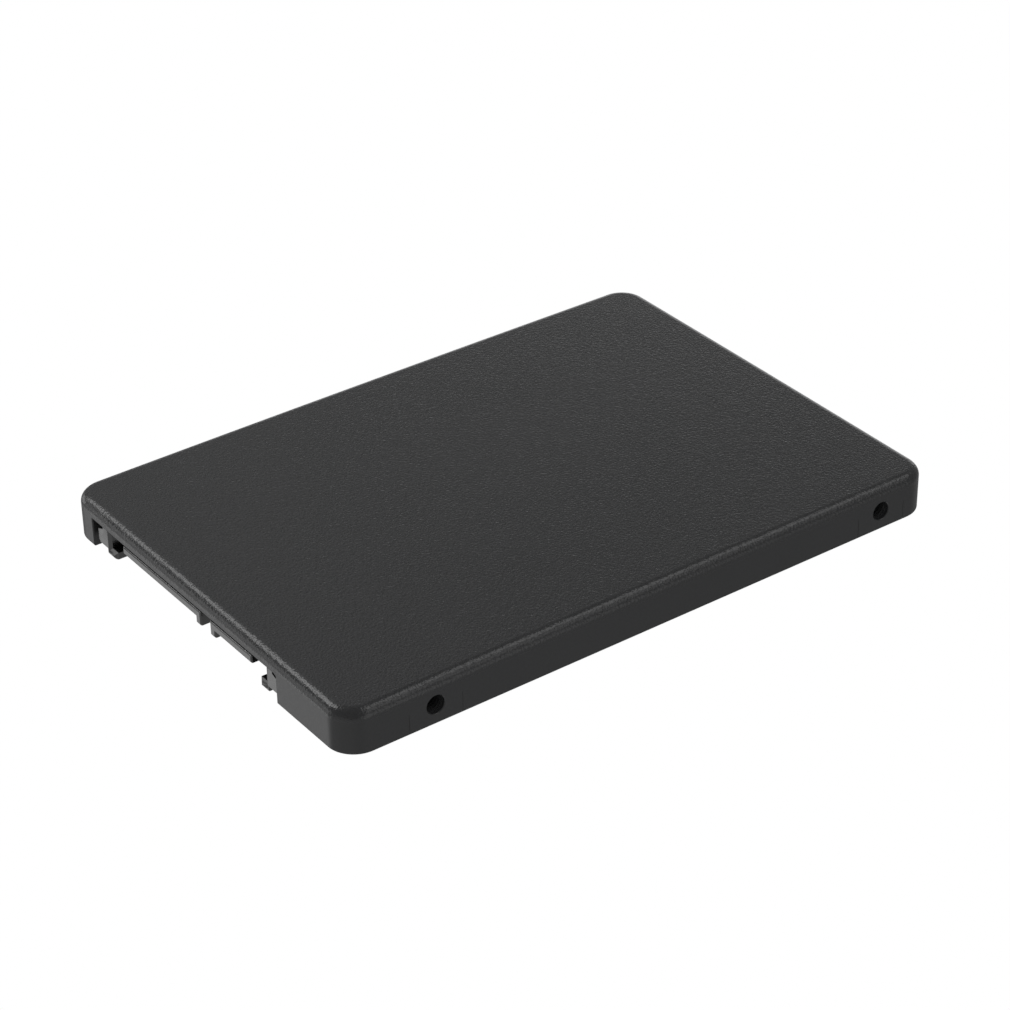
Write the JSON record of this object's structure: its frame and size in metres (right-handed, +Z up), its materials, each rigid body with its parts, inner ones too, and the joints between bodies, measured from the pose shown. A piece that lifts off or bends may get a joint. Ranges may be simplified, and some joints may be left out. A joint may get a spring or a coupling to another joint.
{
  "type": "solid state drive",
  "caption": "Flat rectangular storage drive for a laptop-size bay, with a keyed edge plug at one end and threaded mounting holes in its sides and underside.",
  "frame": {"origin": "centre of the underside's outline, on the plane the drive lies on", "axes": "+X across the width, towards the signal end of the plug; +Y along the length, away from the plug; +Z up, out of the plain top face"},
  "size_m": [0.0698, 0.1, 0.007],
  "materials": {
    "case_plastic": "black moulded plastic with a fine matt texture",
    "plug_plastic": "black glass-filled plastic",
    "contact_gold": "gold-plated contact strip",
    "tinned_steel": "dull tin plate",
    "board_green": "green solder mask, semi-gloss",
    "chip_black": "matt black moulding compound",
    "capacitor_tan": "tan ceramic body",
    "thermal_pad": "soft grey silicone",
    "screw_steel": "black-plated steel",
    "label_vinyl": "blank matt label stock"
  },
  "bodies": {
    "root": {"top_cover": "case_plastic", "bottom_cover": "case_plastic", "rating_label": "label_vinyl", "case_screw_1": "screw_steel", "case_screw_2": "screw_steel", "case_screw_3": "screw_steel", "case_screw_4": "screw_steel", "circuit_board": "board_green", "board_screw_1": "screw_steel", "board_screw_2": "screw_steel", "board_screw_3": "screw_steel", "connector_housing": "plug_plastic", "power_contact_1": "contact_gold", "power_contact_2": "contact_gold", "power_contact_3": "contact_gold", "power_contact_4": "contact_gold", "power_contact_5": "contact_gold", "power_contact_6": "contact_gold", "power_contact_7": "contact_gold", "power_contact_8": "contact_gold", "power_contact_9": "contact_gold", "power_contact_10": "contact_gold", "power_contact_11": "contact_gold", "power_contact_12": "contact_gold", "power_contact_13": "contact_gold", "power_contact_14": "contact_gold", "power_contact_15": "contact_gold", "signal_contact_1": "contact_gold", "signal_contact_2": "contact_gold", "signal_contact_3": "contact_gold", "signal_contact_4": "contact_gold", "signal_contact_5": "contact_gold", "signal_contact_6": "contact_gold", "signal_contact_7": "contact_gold", "board_lock_left": "tinned_steel", "board_lock_right": "tinned_steel", "controller_chip": "chip_black", "controller_thermal_pad": "thermal_pad", "memory_buffer_chip": "chip_black", "flash_chip_1": "chip_black", "flash_chip_2": "chip_black", "flash_chip_3": "chip_black", "flash_chip_4": "chip_black", "flash_thermal_pad_1": "thermal_pad", "flash_thermal_pad_2": "thermal_pad", "power_regulator_chip": "chip_black", "power_inductor_1": "chip_black", "power_inductor_2": "chip_black", "clock_crystal": "tinned_steel", "capacitor_1": "capacitor_tan", "capacitor_2": "capacitor_tan", "capacitor_3": "capacitor_tan", "capacitor_4": "capacitor_tan", "capacitor_5": "capacitor_tan", "capacitor_6": "capacitor_tan", "capacitor_7": "capacitor_tan", "capacitor_8": "capacitor_tan"}
  },
  "joints": []
}
